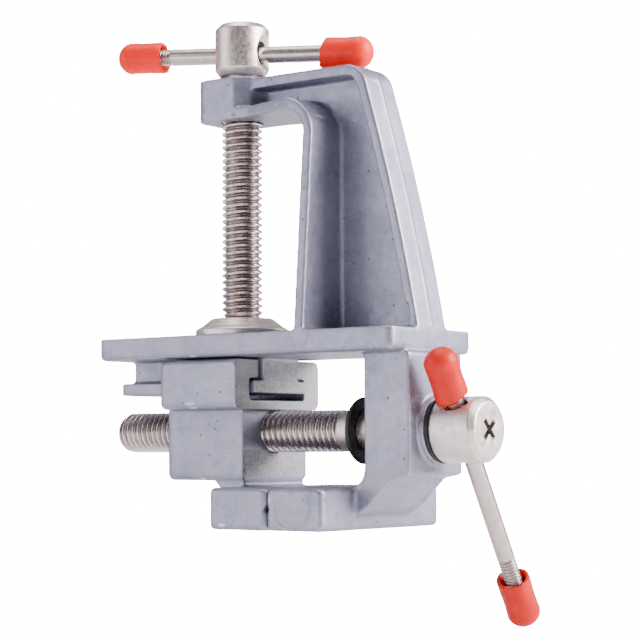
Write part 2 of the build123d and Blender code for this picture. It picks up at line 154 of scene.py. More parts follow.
VISE = Line(JOINTS["vise_turn"]["pos_m"], JOINTS["vise_turn"]["axis"])
CLAMP = Line(JOINTS["clamp_turn"]["pos_m"], JOINTS["clamp_turn"]["axis"], side=(1, 0, 0))
VISE_BAR = Line(middle("vise_bar_rod"), JOINTS["vise_bar_slide"]["axis"], side=(1, 0, 0))
CLAMP_BAR = Line(middle("clamp_bar_rod"), JOINTS["clamp_bar_slide"]["axis"])
HEAD_LOW, HEAD_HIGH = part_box("thrust_washer")[1].x / MM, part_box("vise_screw")[1].x / MM


# ---------------------------------------------------------------- mesh helpers

def new_object(name, verts, faces, place=Matrix.Identity(4), crease=40):
    mesh = bpy.data.meshes.new(name)
    mesh.from_pydata([place @ Vector(v) for v in verts], [], faces)
    mesh.validate()
    obj = bpy.data.objects.new(name, mesh)
    bpy.context.scene.collection.objects.link(obj)
    tidy(obj, crease)
    return obj


def tidy(obj, crease=40):
    """Weld, face outwards, and shade smooth except across edges sharper than crease degrees."""
    bm = bmesh.new()
    bm.from_mesh(obj.data)
    bmesh.ops.remove_doubles(bm, verts=bm.verts, dist=1e-7)
    bmesh.ops.recalc_face_normals(bm, faces=bm.faces)
    bm.to_mesh(obj.data)
    bm.free()
    obj.data.shade_smooth()
    obj.data.set_sharp_from_angle(angle=math.radians(crease))


def apply_modifiers(obj):
    bpy.context.view_layer.update()
    evaluated = obj.evaluated_get(bpy.context.evaluated_depsgraph_get())
    mesh = bpy.data.meshes.new_from_object(evaluated)
    obj.modifiers.clear()
    obj.data = mesh


def rounded(points, radius, steps=5):
    """A profile with each inner corner turned into an arc of about that radius."""
    result = [points[0]]
    for before, corner, after in zip(points, points[1:], points[2:]):
        a, c, b = Vector(before), Vector(corner), Vector(after)
        reach = min(radius, (a - c).length * 0.45, (b - c).length * 0.45)
        start = c + (a - c).normalized() * reach
        end = c + (b - c).normalized() * reach
        for i in range(steps + 1):
            t = i / steps
            result.append(tuple(start * (1 - t) ** 2 + c * 2 * t * (1 - t) + end * t ** 2))
    result.append(points[-1])
    return result


def lathe(name, profile, place, steps=96, crease=40, shape=None):
    """Turns a profile of (radius, height) about local z. shape(angle, r, z) may change a point."""
    verts, faces = [], []
    for i in range(steps):
        angle = 2 * math.pi * i / steps
        for r, z in profile:
            if shape:
                r, z = shape(angle, r, z)
            verts.append((r * math.cos(angle), r * math.sin(angle), z))
    count = len(profile)
    for i in range(steps):
        a, b = i * count, (i + 1) % steps * count
        for j in range(count - 1):
            faces.append((a + j, b + j, b + j + 1, a + j + 1))
    return new_object(name, verts, faces, place, crease)


def thread(name, radius, pitch, depth, low, high, place, steps=80, samples=14, start_fade=1.2, end_fade=0.8):
    """Right-hand screw thread with flat crests and rounded roots, closed by a disc at each end."""
    rings = max(4, int(math.ceil((high - low) / pitch * samples)))
    verts, faces = [], []
    for j in range(rings + 1):
        z = low + (high - low) * j / rings
        taper = min(1, max(0, (z - low) / start_fade), max(0, (high - z) / end_fade)) if end_fade else 1
        for i in range(steps):
            angle = 2 * math.pi * i / steps
            phase = (z / pitch - angle / (2 * math.pi)) % 1
            flank = abs(phase - 0.5) * 2
            cut = min(1, max(0, (flank - 0.14) / 0.68))
            cut = cut * cut * (3 - 2 * cut) * 0.35 + cut * 0.65
            limit = radius - depth * (1 - taper) * 0.9
            r = min(radius - depth * cut, limit)
            verts.append((r * math.cos(angle), r * math.sin(angle), z))
    for j in range(rings):
        for i in range(steps):
            k = (i + 1) % steps
            faces.append((j * steps + i, j * steps + k, (j + 1) * steps + k, (j + 1) * steps + i))
    faces.append(tuple(reversed(range(steps))))
    faces.append(tuple(rings * steps + i for i in range(steps)))
    return new_object(name, verts, faces, place, crease=60)


def cut_away(obj, cutters, edge=0.0):
    """Takes the cutters' shapes out of obj, then breaks the new edges by edge millimetres."""
    for cutter in cutters:
        boolean = obj.modifiers.new("cut", "BOOLEAN")
        boolean.operation = "DIFFERENCE"
        boolean.solver = "EXACT"
        boolean.object = cutter
    if edge:
        bevel = obj.modifiers.new("edge", "BEVEL")
        bevel.width = edge * MM
        bevel.segments = 3
        bevel.limit_method = "ANGLE"
        bevel.angle_limit = math.radians(35)
    apply_modifiers(obj)
    for cutter in cutters:
        bpy.data.objects.remove(cutter)
    tidy(obj)


# ---------------------------------------------------------------- materials

class Nodes:
    """Small wrapper that makes and links shader nodes."""

    def __init__(self, name):
        self.material = bpy.data.materials.new(name)
        self.material.use_nodes = True
        self.tree = self.material.node_tree
        self.shader = self.tree.nodes["Principled BSDF"]
        self.place = self.add("ShaderNodeTexCoord").outputs["Object"]
        self.normal = self.tree.nodes[-1].outputs["Normal"]

    def add(self, kind, **settings):
        node = self.tree.nodes.new(kind)
        for key, value in settings.items():
            setattr(node, key, value)
        return node

    def link(self, source, target):
        self.tree.links.new(source, target)

    def scaled(self, factors):
        """Object position in millimetres, stretched by three factors."""
        mapping = self.add("ShaderNodeMapping")
        mapping.inputs["Scale"].default_value = [f / MM for f in factors]
        self.link(self.place, mapping.inputs["Vector"])
        return mapping.outputs["Vector"]

    def noise(self, per_mm, detail=3, rough=0.5, stretch=(1, 1, 1)):
        """Clouds of about per_mm to the millimetre."""
        node = self.add("ShaderNodeTexNoise")
        self.link(self.scaled([per_mm * s for s in stretch]), node.inputs["Vector"])
        node.inputs["Scale"].default_value = 1
        node.inputs["Detail"].default_value = detail
        node.inputs["Roughness"].default_value = rough
        return node.outputs["Fac"]

    def spots(self, per_mm):
        """Scattered cells: the distance to each one's middle, and its random colour."""
        node = self.add("ShaderNodeTexVoronoi")
        self.link(self.scaled([per_mm] * 3), node.inputs["Vector"])
        node.inputs["Scale"].default_value = 1
        return node.outputs["Distance"], node.outputs["Color"]

    def ramp(self, source, low, high, out_low=0.0, out_high=1.0):
        """Source from low to high, carried to out_low to out_high and held there beyond."""
        node = self.add("ShaderNodeMapRange")
        for key, value in (("From Min", low), ("From Max", high), ("To Min", out_low), ("To Max", out_high)):
            node.inputs[key].default_value = value
        self.link(source, node.inputs["Value"])
        return node.outputs["Result"]

    def math(self, operation, a, b):
        """Sum on two values, each a number or a socket."""
        node = self.add("ShaderNodeMath", operation=operation)
        for socket, value in zip(node.inputs, (a, b)):
            if isinstance(value, (int, float)):
                socket.default_value = value
            else:
                self.link(value, socket)
        return node.outputs[0]

    def mix(self, fac, a, b):
        """Colour mix: a where fac is 0, b where it is 1. a and b are colours or sockets."""
        node = self.add("ShaderNodeMix", data_type="RGBA")
        self.link(fac, node.inputs["Factor"])
        colour_a, colour_b = [s for s in node.inputs if s.type == "RGBA"]
        for socket, value in ((colour_a, a), (colour_b, b)):
            if isinstance(value, tuple):
                socket.default_value = (*value, 1)
            else:
                self.link(value, socket)
        return [s for s in node.outputs if s.type == "RGBA"][0]

    def edges(self, low=0.53, high=0.60):
        """1 along the mesh's convex edges."""
        return self.ramp(self.add("ShaderNodeNewGeometry").outputs["Pointiness"], low, high)

    def vector(self, operation, a, b):
        node = self.add("ShaderNodeVectorMath", operation=operation)
        self.link(a, node.inputs[0])
        if isinstance(b, Vector):
            node.inputs[1].default_value = b
        else:
            self.link(b, node.inputs[1])
        return node.outputs["Value" if operation in ("DOT_PRODUCT", "DISTANCE") else "Vector"]

    def from_axis(self, line):
        """Distance from a line that lies along X or Z."""
        offset = self.vector("SUBTRACT", self.place, line.origin)
        across = self.vector("MULTIPLY", offset, Vector(1 - abs(c) for c in line.z))
        return self.vector("DISTANCE", across, Vector((0, 0, 0)))

    def inside_recess(self, line, height):
        """1 in the cross recess that goes in from height, in millimetres, on the line."""
        along = self.vector("DOT_PRODUCT", self.vector("SUBTRACT", self.place, line.origin), line.z)
        near = self.ramp(self.from_axis(line), 3.3 * MM, 3.5 * MM, 1, 0)
        below = self.ramp(along, (height - 0.3) * MM, (height - 0.12) * MM, 1, 0)
        above = self.ramp(along, (height - 2.6) * MM, (height - 2.5) * MM)
        return self.math("MULTIPLY", self.math("MULTIPLY", near, below), above)

    def axis(self, vector, index):
        node = self.add("ShaderNodeSeparateXYZ")
        self.link(vector, node.inputs[0])
        return node.outputs[index]

    def bump(self, height, distance, strength=1.0, base=None):
        """Bump from a height from 0 to 1, distance millimetres high."""
        node = self.add("ShaderNodeBump")
        node.inputs["Distance"].default_value = distance * MM
        node.inputs["Strength"].default_value = strength
        self.link(height, node.inputs["Height"])
        if base is not None:
            self.link(base, node.inputs["Normal"])
        return node.outputs["Normal"]

    def finish(self, colour, rough, normal=None, **constants):
        self.link(colour, self.shader.inputs["Base Color"])
        self.link(rough, self.shader.inputs["Roughness"])
        if normal is not None:
            self.link(normal, self.shader.inputs["Normal"])
        for key, value in constants.items():
            self.shader.inputs[key.replace("_", " ")].default_value = value
        return self.material


def cast_aluminium(name, sawn_x, sawn_z):
    """Die-cast skin: mottling, pits, stains and worn edges.

    +X faces between the two sawn_x are sawn, in the bands of sawn_z, each a lowest and highest height.
    """
    dark_skin, light_skin, bright_skin = (0.228, 0.224, 0.305), (0.298, 0.288, 0.375), (0.39, 0.378, 0.44)
    blue_stain, grey_smudge, black_dirt = (0.10, 0.16, 0.24), (0.12, 0.115, 0.12), (0.06, 0.06, 0.07)
    bare_metal, worn_metal = (0.62, 0.62, 0.64), (0.60, 0.59, 0.60)
    sawn_dark, sawn_light = (0.17, 0.165, 0.165), (0.37, 0.36, 0.36)
    n = Nodes(name)
    cloud = n.noise(0.13, 4, 0.55)
    flow = n.noise(0.8, 3, 0.6, (0.35, 1, 1))
    base = n.mix(n.ramp(cloud, 0.3, 0.7), dark_skin, light_skin)
    base = n.mix(n.ramp(flow, 0.54, 0.76, 0, 0.25), base, bright_skin)
    stain = n.math("MULTIPLY", n.ramp(n.noise(0.10, 3), 0.55, 0.67), n.ramp(n.noise(1.0, 3), 0.40, 0.66))
    base = n.mix(n.math("MULTIPLY", stain, 0.45), base, blue_stain)
    smudge = n.math("MULTIPLY", n.ramp(n.noise(0.22, 5, 0.65), 0.62, 0.76), 0.30)
    base = n.mix(smudge, base, grey_smudge)
    distance, cell = n.spots(0.45)
    chosen = n.ramp(n.axis(cell, 0), 0.68, 0.71)
    pit = n.math("MULTIPLY", n.ramp(distance, 0.07, 0.16, 1, 0), chosen)
    small, small_cell = n.spots(1.5)
    specks = n.math("MULTIPLY", n.ramp(small, 0.10, 0.22, 1, 0), n.ramp(n.axis(small_cell, 1), 0.84, 0.88))
    dirt = n.math("MAXIMUM", pit, n.math("MULTIPLY", specks, 0.6))
    base = n.mix(n.math("MULTIPLY", dirt, 0.75), base, black_dirt)
    scratch = n.math("MULTIPLY", n.ramp(n.noise(0.6, 2, 0.5, (0.12, 1.6, 5)), 0.71, 0.74), 0.4)
    base = n.mix(scratch, base, bare_metal)
    worn = n.math("MULTIPLY", n.edges(0.52, 0.58), n.ramp(n.noise(0.5, 4), 0.35, 0.6, 0.2, 0.9))
    base = n.mix(worn, base, worn_metal)
    rough = n.ramp(n.noise(0.5, 4), 0.3, 0.7, 0.38, 0.52)
    x = n.axis(n.place, 0)
    within = n.math("MULTIPLY", n.ramp(x, (sawn_x[0] - 0.1) * MM, sawn_x[0] * MM),
                    n.ramp(x, sawn_x[1] * MM, (sawn_x[1] + 0.1) * MM, 1, 0))
    facing = n.ramp(n.axis(n.normal, 0), 0.84, 0.94)
    z = n.axis(n.place, 2)
    sawn = 0.0
    for low, high in sawn_z:
        band = n.math("MULTIPLY", n.ramp(z, (low - 1.5) * MM, low * MM),
                      n.ramp(z, high * MM, (high + 0.2) * MM, 1, 0))
        sawn = n.math("MAXIMUM", sawn, band)
    sawn = n.math("MULTIPLY", n.math("MULTIPLY", within, facing), sawn)
    marks = n.noise(2.2, 4, 0.7, (1, 1, 1.5))
    tone = n.mix(n.ramp(marks, 0.38, 0.60), sawn_dark, sawn_light)
    base = n.mix(n.math("MULTIPLY", sawn, 0.8), base, tone)
    rough = n.math("ADD", rough, n.math("MULTIPLY", sawn, 0.12))
    grain = n.math("ADD", n.noise(4.5, 4, 0.7), n.math("MULTIPLY", n.math("MULTIPLY", marks, sawn), 2.0))
    normal = n.bump(grain, 0.034, 0.6)
    normal = n.bump(n.math("SUBTRACT", 1, dirt), 0.08, 0.7, normal)
    normal = n.bump(n.noise(0.9, 3), 0.07, 0.5, normal)
    return n.finish(base, rough, normal, Metallic=0.78)


def nickel(name, rough=0.24, tint=(0.74, 0.635, 0.615), streak=(1, 1, 1), recess=None, roots=None):
    """Worn nickel plate.

    recess is a line and a height on it, below which a screw's cross recess is darkened with painted shading
    and dirt, and roots is a line and the two radii between which a thread goes from patchy painted shading
    at its roots to plain plate.
    """
    dull_plate, brown_speck = (0.36, 0.31, 0.28), (0.14, 0.11, 0.10)
    root_shading, recess_shade_and_dirt = (0.13, 0.10, 0.085), (0.13, 0.105, 0.085)
    n = Nodes(name)
    haze = n.noise(0.5, 4)
    colour = n.mix(n.ramp(haze, 0.3, 0.7), tuple(0.80 * c for c in tint), tint)
    dull = n.ramp(n.noise(0.35, 4, 0.6), 0.54, 0.72)
    colour = n.mix(n.math("MULTIPLY", dull, 0.35), colour, dull_plate)
    small, cell = n.spots(1.0)
    speck = n.math("MULTIPLY", n.ramp(small, 0.08, 0.18, 1, 0), n.ramp(n.axis(cell, 0), 0.90, 0.93))
    colour = n.mix(n.math("MULTIPLY", speck, 0.5), colour, brown_speck)
    roughness = n.ramp(n.noise(1.2, 4), 0.3, 0.7, rough * 0.85, rough * 1.3)
    if roots:
        line, low, high = roots
        # Patchy painted shading darkens the thread roots and fades out towards the crests.
        toward_crest = n.ramp(n.from_axis(line), low * MM, high * MM)
        patches = n.ramp(n.noise(0.4, 3), 0.3, 0.6, 0.45, 0.9)
        patchy = n.math("MULTIPLY", n.math("SUBTRACT", 1, toward_crest), patches)
        colour = n.mix(patchy, colour, root_shading)
        roughness = n.math("ADD", roughness, n.math("MULTIPLY", patchy, 0.2))
    if recess:
        # Painted shading, with some dirt, darkens the cross recess below the head's end.
        dirt = n.inside_recess(*recess)
        colour = n.mix(dirt, colour, recess_shade_and_dirt)
        roughness = n.math("ADD", roughness, n.math("MULTIPLY", dirt, 0.3))
    lines = n.noise(1.2, 1, 0.5, streak)
    normal = n.bump(lines, 0.003, 0.5)
    normal = n.bump(n.noise(0.4, 2), 0.05, 0.25, normal)
    return n.finish(colour, roughness, normal, Metallic=1.0)


def black_oxide(name):
    """Dull black steel, a little worn along its edges."""
    n = Nodes(name)
    colour = n.mix(n.ramp(n.noise(1.2, 4), 0.35, 0.7), (0.008, 0.008, 0.009), (0.022, 0.021, 0.023))
    worn = n.ramp(n.noise(4.0, 3, 0.7), 0.68, 0.76, 0, 0.3)
    colour = n.mix(worn, colour, (0.09, 0.085, 0.085))
    colour = n.mix(n.math("MULTIPLY", n.edges(), 0.3), colour, (0.16, 0.15, 0.15))
    rough = n.ramp(n.noise(2.0, 3), 0.3, 0.7, 0.44, 0.60)
    return n.finish(colour, rough, n.bump(n.noise(3, 3), 0.02, 0.4), Specular_IOR_Level=0.35)


def red_vinyl(name, painted_shading=1.0):
    """Dipped vinyl; the second argument, below 1, darkens the red as painted shading."""
    n = Nodes(name)
    cloud = n.noise(0.28, 3)
    # The darkening factor scales the red down as painted shading.
    colour = n.mix(n.ramp(cloud, 0.3, 0.7), (0.78 * painted_shading, 0.003, 0.001), (0.95 * painted_shading, 0.010, 0.003))
    small, cell = n.spots(0.8)
    fleck = n.math("MULTIPLY", n.ramp(small, 0.05, 0.16, 1, 0), n.ramp(n.axis(cell, 2), 0.90, 0.93))
    colour = n.mix(n.math("MULTIPLY", fleck, 0.4), colour, (1.0, 0.20, 0.12))
    rough = n.ramp(n.noise(1.6, 3), 0.3, 0.7, 0.34, 0.48)
    normal = n.bump(n.noise(0.8, 3), 0.10, 0.35)
    normal = n.bump(n.noise(5, 2), 0.012, 0.4, normal)
    material = n.finish(colour, rough, normal, Subsurface_Weight=0.12, Subsurface_Scale=0.0014, IOR=1.42,
                        Specular_IOR_Level=0.3)
    n.shader.inputs["Subsurface Radius"].default_value = (1.0, 0.18, 0.10)
    return material


# ---------------------------------------------------------------- finishing a piece

def complete(obj, body, slot, material, *nodes):
    """Gives a piece its material and its body, and hides the CAD nodes that it replaces. slot is not used.
    """
    obj.data.materials.clear()
    obj.data.materials.append(material)
    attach(obj, body)
    if nodes:
        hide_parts(*nodes)
    return obj


# ---------------------------------------------------------------- castings

def wave(point, per_mm):
    """Smooth noise from -1 to 1 at a point in millimetres."""
    return noise.noise(Vector(point) * per_mm)


def inside(point, low, high):
    return all(a < p < b for a, p, b in zip(low, point, high))


class Cast:
    """A casting: the CAD solid remeshed fine, its edges softened, then marked as the mould leaves it."""

    def __init__(self, node, name, voxel, soften, keep, crisp):
        self.obj = bpy.data.objects.new(name, frame["nodes"][node].data.copy())
        bpy.context.scene.collection.objects.link(self.obj)
        remesh = self.obj.modifiers.new("skin", "REMESH")
        remesh.mode = "VOXEL"
        remesh.voxel_size = voxel * MM
        apply_modifiers(self.obj)
        group = self.obj.vertex_groups.new(name="soft")
        for vertex in self.obj.data.vertices:
            sharp = any(inside(vertex.co / MM, low, high) for low, high in crisp)
            group.add([vertex.index], 0.3 if sharp else 1.0, "REPLACE")
        smooth = self.obj.modifiers.new("soften", "SMOOTH")
        smooth.factor = 0.5
        smooth.iterations = soften
        smooth.vertex_group = "soft"
        apply_modifiers(self.obj)
        self.keep = keep
        mesh = self.obj.data
        self.co = np.empty(len(mesh.vertices) * 3)
        mesh.vertices.foreach_get("co", self.co)
        self.co = self.co.reshape(-1, 3) / MM
        self.normal = np.empty(len(mesh.vertices) * 3)
        mesh.vertices.foreach_get("normal", self.normal)
        self.normal = self.normal.reshape(-1, 3)
        self.lift = np.zeros(len(mesh.vertices))

    def pin_mark(self, centre, facing, radius, ring=0.10, sunk=0.06):
        """Ejector pin mark: a shallow disc with a thin raised ring."""
        offset = self.co - np.array(centre)
        depth = offset @ np.array(facing)
        spread = np.sqrt(np.maximum((offset ** 2).sum(1) - depth ** 2, 0))
        here = (self.normal @ np.array(facing) > 0.75) & (abs(depth) < 1.0)
        disc = np.clip((radius - spread) / 0.3, 0, 1)
        rim = np.exp(-((spread - radius) / 0.28) ** 2)
        self.lift += here * (ring * rim - sunk * disc)

    def parting_line(self, low, high, height=0.10, width=0.28):
        """Thin raised line round the plane y = 0, inside a box."""
        within = ((self.co > np.array(low)) & (self.co < np.array(high))).all(1)
        ridge = np.exp(-(self.co[:, 1] / width) ** 2) * (abs(self.normal[:, 1]) < 0.5)
        self.lift += within * ridge * height

    def finish(self, ripple=0.05):
        """Adds the mould's slight waviness, moves the vertices, and thins the mesh."""
        shift = np.array([
            ripple * (wave(point, 0.13) + 0.4 * wave(point, 0.6)) for point in self.co
        ])
        moved = (self.co + self.normal * (self.lift + shift - ripple)[:, None]) * MM
        self.obj.data.vertices.foreach_set("co", moved.ravel())
        self.obj.data.update()
        thin = self.obj.modifiers.new("thin", "DECIMATE")
        thin.ratio = self.keep
        apply_modifiers(self.obj)
        tidy(self.obj, crease=70)
        return self.obj


def make_castings():
    body = Cast("frame_casting", "frame_body", voxel=0.34, soften=11, keep=0.30, crisp=[
        ((10.6, -12, -14), (14, 12, -5.6)),
        ((53.5, -9, -31), (57, 9, -13)),
    ])
    for side in (1, -1):
        body.pin_mark((33.8, -1.2 * side, 49.8), (0, -side, 0), 2.4)
        body.pin_mark((32.0, JAW_FRONT * side, -38.8), (0, -side, 0), 5.0, ring=0.05, sunk=0.15)
    body.pin_mark((28.9, PLATE_FRONT, -1.9), (0, -1, 0), 2.5)
    body.parting_line((-9, -3, 49), (60, 3, 62))
    body.parting_line((36, -3, 0.5), (60, 3, 62))
    complete(body.finish(), "frame", "cast_aluminium",
             cast_aluminium("cast_frame", (11.1, 12.2), [(-13.4, -5.4)]), "frame_casting")
    jaw = Cast("moving_jaw", "moving_jaw_body", voxel=0.30, soften=12, keep=0.35, crisp=[
        ((9.6, -16, -33), (12, 16, -5)),
    ])
    complete(jaw.finish(), "moving_jaw", "cast_aluminium",
             cast_aluminium("cast_jaw", (9.2, 11.0), [(-17.0, -5.0), (-31.5, -26.5)]), "moving_jaw")


# ---------------------------------------------------------------- screws

def cross_recess(place):
    """Cutter for a cross recess: a four-armed outline that tapers to a smaller one below."""
    def outline(half_span, half_slot, z):
        corner = half_slot
        arm = [(half_span, -half_slot), (half_span, half_slot), (corner, corner)]
        points = []
        for quarter in range(4):
            angle = math.pi / 2 * quarter
            for x, y in arm:
                points.append((x * math.cos(angle) - y * math.sin(angle),
                               x * math.sin(angle) + y * math.cos(angle), z))
        return points

    top, foot = outline(3.15, 0.74, 0.5), outline(1.5, 0.45, -2.0)
    count = len(top)
    faces = [tuple(range(count)), tuple(range(2 * count - 1, count - 1, -1))]
    faces += [(i, (i + 1) % count, count + (i + 1) % count, count + i) for i in range(count)]
    return [new_object("recess", top + foot, faces, place)]


def cross_hole(line, reach, radius, sink):
    """Cutter for the bar's hole, opened out to a countersink at each end."""
    lip = 0.95
    profile = [
        (0, -reach - 2), (sink + 1.6, -reach - 2), (sink, -reach + 0.25), (radius, -reach + 0.25 + lip),
        (radius, reach - 0.25 - lip), (sink, reach - 0.25), (sink + 1.6, reach + 2), (0, reach + 2),
    ]
    return lathe("hole", profile, line, steps=64)


def screw_head(name, line, low, high, radius, hole, top_chamfer, foot_chamfer, recess_turn):
    """Turned cylindrical head with a cross hole for the bar and a cross recess in its end."""
    profile = [
        (0, low), (radius - foot_chamfer, low), (radius, low + foot_chamfer * 1.4),
        (radius, high - top_chamfer), (radius - top_chamfer, high), (0, high),
    ]
    head = lathe(name, rounded(profile, 0.25), line.place(), steps=128)
    cutters = [cross_hole(hole.place(), radius, BAR_HOLE_R, BAR_SINK_R)]
    cutters += cross_recess(line.place(high) @ Matrix.Rotation(math.radians(recess_turn), 4, "Z"))
    cut_away(head, cutters, edge=0.09)
    return head


ROOTS = (3.95, 4.45)          # radii between which a thread goes from patchy painted shading at its roots to plain plate


def make_vise_screw():
    """Vise screw with its head, washer and retaining ring."""
    steel = nickel("nickel_vise_screw", rough=0.40, streak=(0.2, 1.5, 1.5), recess=(VISE, HEAD_HIGH))
    thread_steel = nickel("nickel_vise_thread", roots=(VISE, *ROOTS))
    low = VISE.span("vise_screw")[0]
    parts = [thread("vise_screw_thread", THREAD_R, PITCH, THREAD_DEPTH, low, THREAD_RUN_OUT, VISE.place())]
    ring_low, ring_high = VISE.span("retaining_ring")
    profile = [
        (0, THREAD_RUN_OUT - 1.3), (THREAD_R - THREAD_DEPTH, THREAD_RUN_OUT - 1.3),
        (SHANK_R, THREAD_RUN_OUT - 0.1), (SHANK_R, ring_low), (RING_GROOVE_R, ring_low),
        (RING_GROOVE_R, ring_high), (SHANK_R, ring_high), (SHANK_R, HEAD_LOW + 0.3), (0, HEAD_LOW + 0.3),
    ]
    parts.append(lathe("vise_screw_shank", rounded(profile, 0.15), VISE.place()))
    parts.append(screw_head(
        "vise_screw_head", VISE, HEAD_LOW, HEAD_HIGH, VISE_HEAD_R, VISE.crossed_by(VISE_BAR),
        top_chamfer=1.2, foot_chamfer=0.4, recess_turn=43))
    for part in parts:
        finish = thread_steel if part is parts[0] else steel
        complete(part, "vise_screw", "nickel_steel", finish, "vise_screw")
    black = black_oxide("black_fittings")
    low, high = VISE.span("thrust_washer")
    washer = [(WASHER_BORE_R, low), (WASHER_R, low), (WASHER_R, high), (WASHER_BORE_R, high),
              (WASHER_BORE_R, low)]
    complete(lathe("thrust_washer_disc", rounded(washer, 0.3), VISE.place()),
             "vise_screw", "black_steel", black, "thrust_washer")
    make_ring(black, ring_low, ring_high)


def make_ring(material, low, high):
    """Retaining ring: a flat disc with a rounded rim and a small step round its hole."""
    bore, step = RING_GROOVE_R + 0.03, high - 0.12
    section = [
        (bore, low), (RING_R, low), (RING_R, high), (5.6, high), (5.3, step), (bore, step), (bore, low),
    ]
    complete(lathe("retaining_ring_disc", rounded(section, 0.34), VISE.place()),
             "vise_screw", "black_steel", material, "retaining_ring")


def make_clamp_screw():
    """Clamp screw with its head and swivel button, and the pad round the button."""
    foot, top = CLAMP.span("clamp_screw")
    steel = nickel("nickel_clamp_screw", rough=0.36, streak=(1.5, 1.5, 0.2), recess=(CLAMP, top))
    thread_steel = nickel("nickel_clamp_thread", roots=(CLAMP, *ROOTS))
    pad_foot, pad_top = CLAMP.span("clamp_pad")
    button = [
        (0, foot), (BUTTON_R, foot), (BUTTON_R, BUTTON_HIGH), (BUTTON_NECK_R, BUTTON_HIGH + 0.05),
        (BUTTON_NECK_R, pad_top + 0.5), (0, pad_top + 0.5),
    ]
    neck_r, neck_low, neck_high = 3.9, 58, CLAMP_HEAD_LOW + 0.5
    neck = [(0, neck_low), (neck_r, neck_low), (neck_r, neck_high), (0, neck_high)]
    parts = [
        thread("clamp_screw_thread", THREAD_R, PITCH, THREAD_DEPTH, pad_top + 0.3, CLAMP_HEAD_LOW - 0.6,
               CLAMP.place()),
        lathe("clamp_screw_button", rounded(button, 0.25), CLAMP.place()),
        lathe("clamp_screw_neck", rounded(neck, 0.1), CLAMP.place()),
        screw_head("clamp_screw_head", CLAMP, CLAMP_HEAD_LOW, top, CLAMP_HEAD_R,
                   CLAMP.crossed_by(CLAMP_BAR, CLAMP_HOLE_RISE),
                   top_chamfer=1.3, foot_chamfer=1.2, recess_turn=17),
    ]
    for part in parts:
        finish = thread_steel if part is parts[0] else steel
        complete(part, "clamp_screw", "nickel_steel", finish, "clamp_screw")
    profile = [
        (0, pad_foot), (PAD_R - 0.05, pad_foot), (PAD_R, pad_foot + 1.6), (9.6, pad_foot + 2.3),
        (PAD_TOP_R, pad_top), (2.95, pad_top), (2.95, 2.85), (4.28, 2.8), (4.28, 1.12), (0, 1.12),
    ]
    pad = lathe("clamp_pad_disc", rounded(profile, 0.35), CLAMP.place(), steps=128)
    complete(pad, "clamp_pad", "nickel_steel",
             nickel("nickel_pad", rough=0.38, tint=(0.84, 0.725, 0.70)), "clamp_pad")


# ---------------------------------------------------------------- tommy bars

def make_bar(prefix, line, body, threaded_end, shown_thread, caps, painted_shading=1.0, seated_cap=None):
    """Rod with one threaded end, and a soft cap on each end.

    caps are the nodes of the caps, each with its end of the line, +1 or -1. The argument after caps darkens
    them as painted shading, and seated_cap is the one that sits in the countersink of the screw's head.
    """
    steel = nickel(prefix + "_steel", rough=0.3, tint=(0.53, 0.455, 0.44))
    vinyl = red_vinyl(prefix + "_vinyl", painted_shading)
    low, high = line.span(prefix + "_rod")
    for name, end in caps:
        mouth, tip = sorted(line.span(name), key=abs)
        make_cap(name + "_sleeve", line, end, abs(mouth), abs(tip), name, body, vinyl,
                 seated=name == seated_cap)
        if end == threaded_end:
            mouth_there = abs(mouth)
    turned = Line(line.origin, line.z * threaded_end, side=line.x)
    if threaded_end < 0:
        low, high = -high, -low
    start = mouth_there - shown_thread
    profile = [(0, low), (BAR_R, low), (BAR_R, start), (BAR_R - 0.22, start + 0.3), (0, start + 0.3)]
    rod = lathe(prefix + "_rod_plain", rounded(profile, 0.15), turned.place(), steps=64)
    screw = thread(prefix + "_rod_thread", BAR_R, BAR_PITCH, BAR_THREAD_DEPTH, start + 0.1, high,
                   turned.place(), steps=56, start_fade=0.3, end_fade=0.5)
    for part in (rod, screw):
        complete(part, body, "nickel_steel", steel, prefix + "_rod")


def make_cap(name, line, end, mouth, tip, node, body, material, seated):
    """Dipped vinyl cap: a slanting, flared mouth, a slightly waisted sleeve and a round end.

    The mouth of a seated cap is drawn in, so that it sits in the countersink of the screw's head.
    """
    length = tip - mouth
    dome_low = length - CAP_DOME
    flare, lip = (2.55, 0.95) if seated else (2.85, 0.3)
    profile = [
        (CAP_BORE_R, CAP_BORE_END), (CAP_BORE_R, 4.0), (2.2, 2.6), (flare, 0.7), (flare + 0.18, 0.1),
        (CAP_R - lip, 0.0), (CAP_R - 0.06, lip), (CAP_R, lip + 0.7), (CAP_R - 0.03, 3.2),
        (CAP_R - 0.13, 6.0), (CAP_R - 0.05, 8.4), (CAP_R, dome_low),
    ]
    for i in range(1, CAP_DOME_STEPS + 1):
        angle = math.pi / 2 * i / CAP_DOME_STEPS
        reach = math.cos(angle) if i < CAP_DOME_STEPS else 0
        profile.append((CAP_R * reach, dome_low + CAP_DOME * math.sin(angle)))
    slant = rng.uniform(0.5, 0.8)
    phase = rng.uniform(0, 6.28)

    def shape(angle, r, z):
        if z > dome_low or r < CAP_BORE_R + 0.1:
            return r, z
        near_mouth = max(0.0, 1 - z / 3.0)
        wobble = 0.045 * math.sin(3 * angle + phase) + 0.03 * math.sin(7 * angle - phase)
        ragged = 0.10 * math.sin(5 * angle + phase) + 0.06 * math.sin(11 * angle)
        slope = slant * (1 + math.cos(angle - CAP_HIGH_SIDE))
        return r - 0.05 + wobble * 0.6, z + near_mouth * (slope + 0.16 + ragged)

    turned = Line(line.origin, line.z * end, side=line.x)
    cap = lathe(name, profile, turned.place(mouth), steps=80, shape=shape)
    complete(cap, body, "red_vinyl", material, node)


# ---------------------------------------------------------------- stage

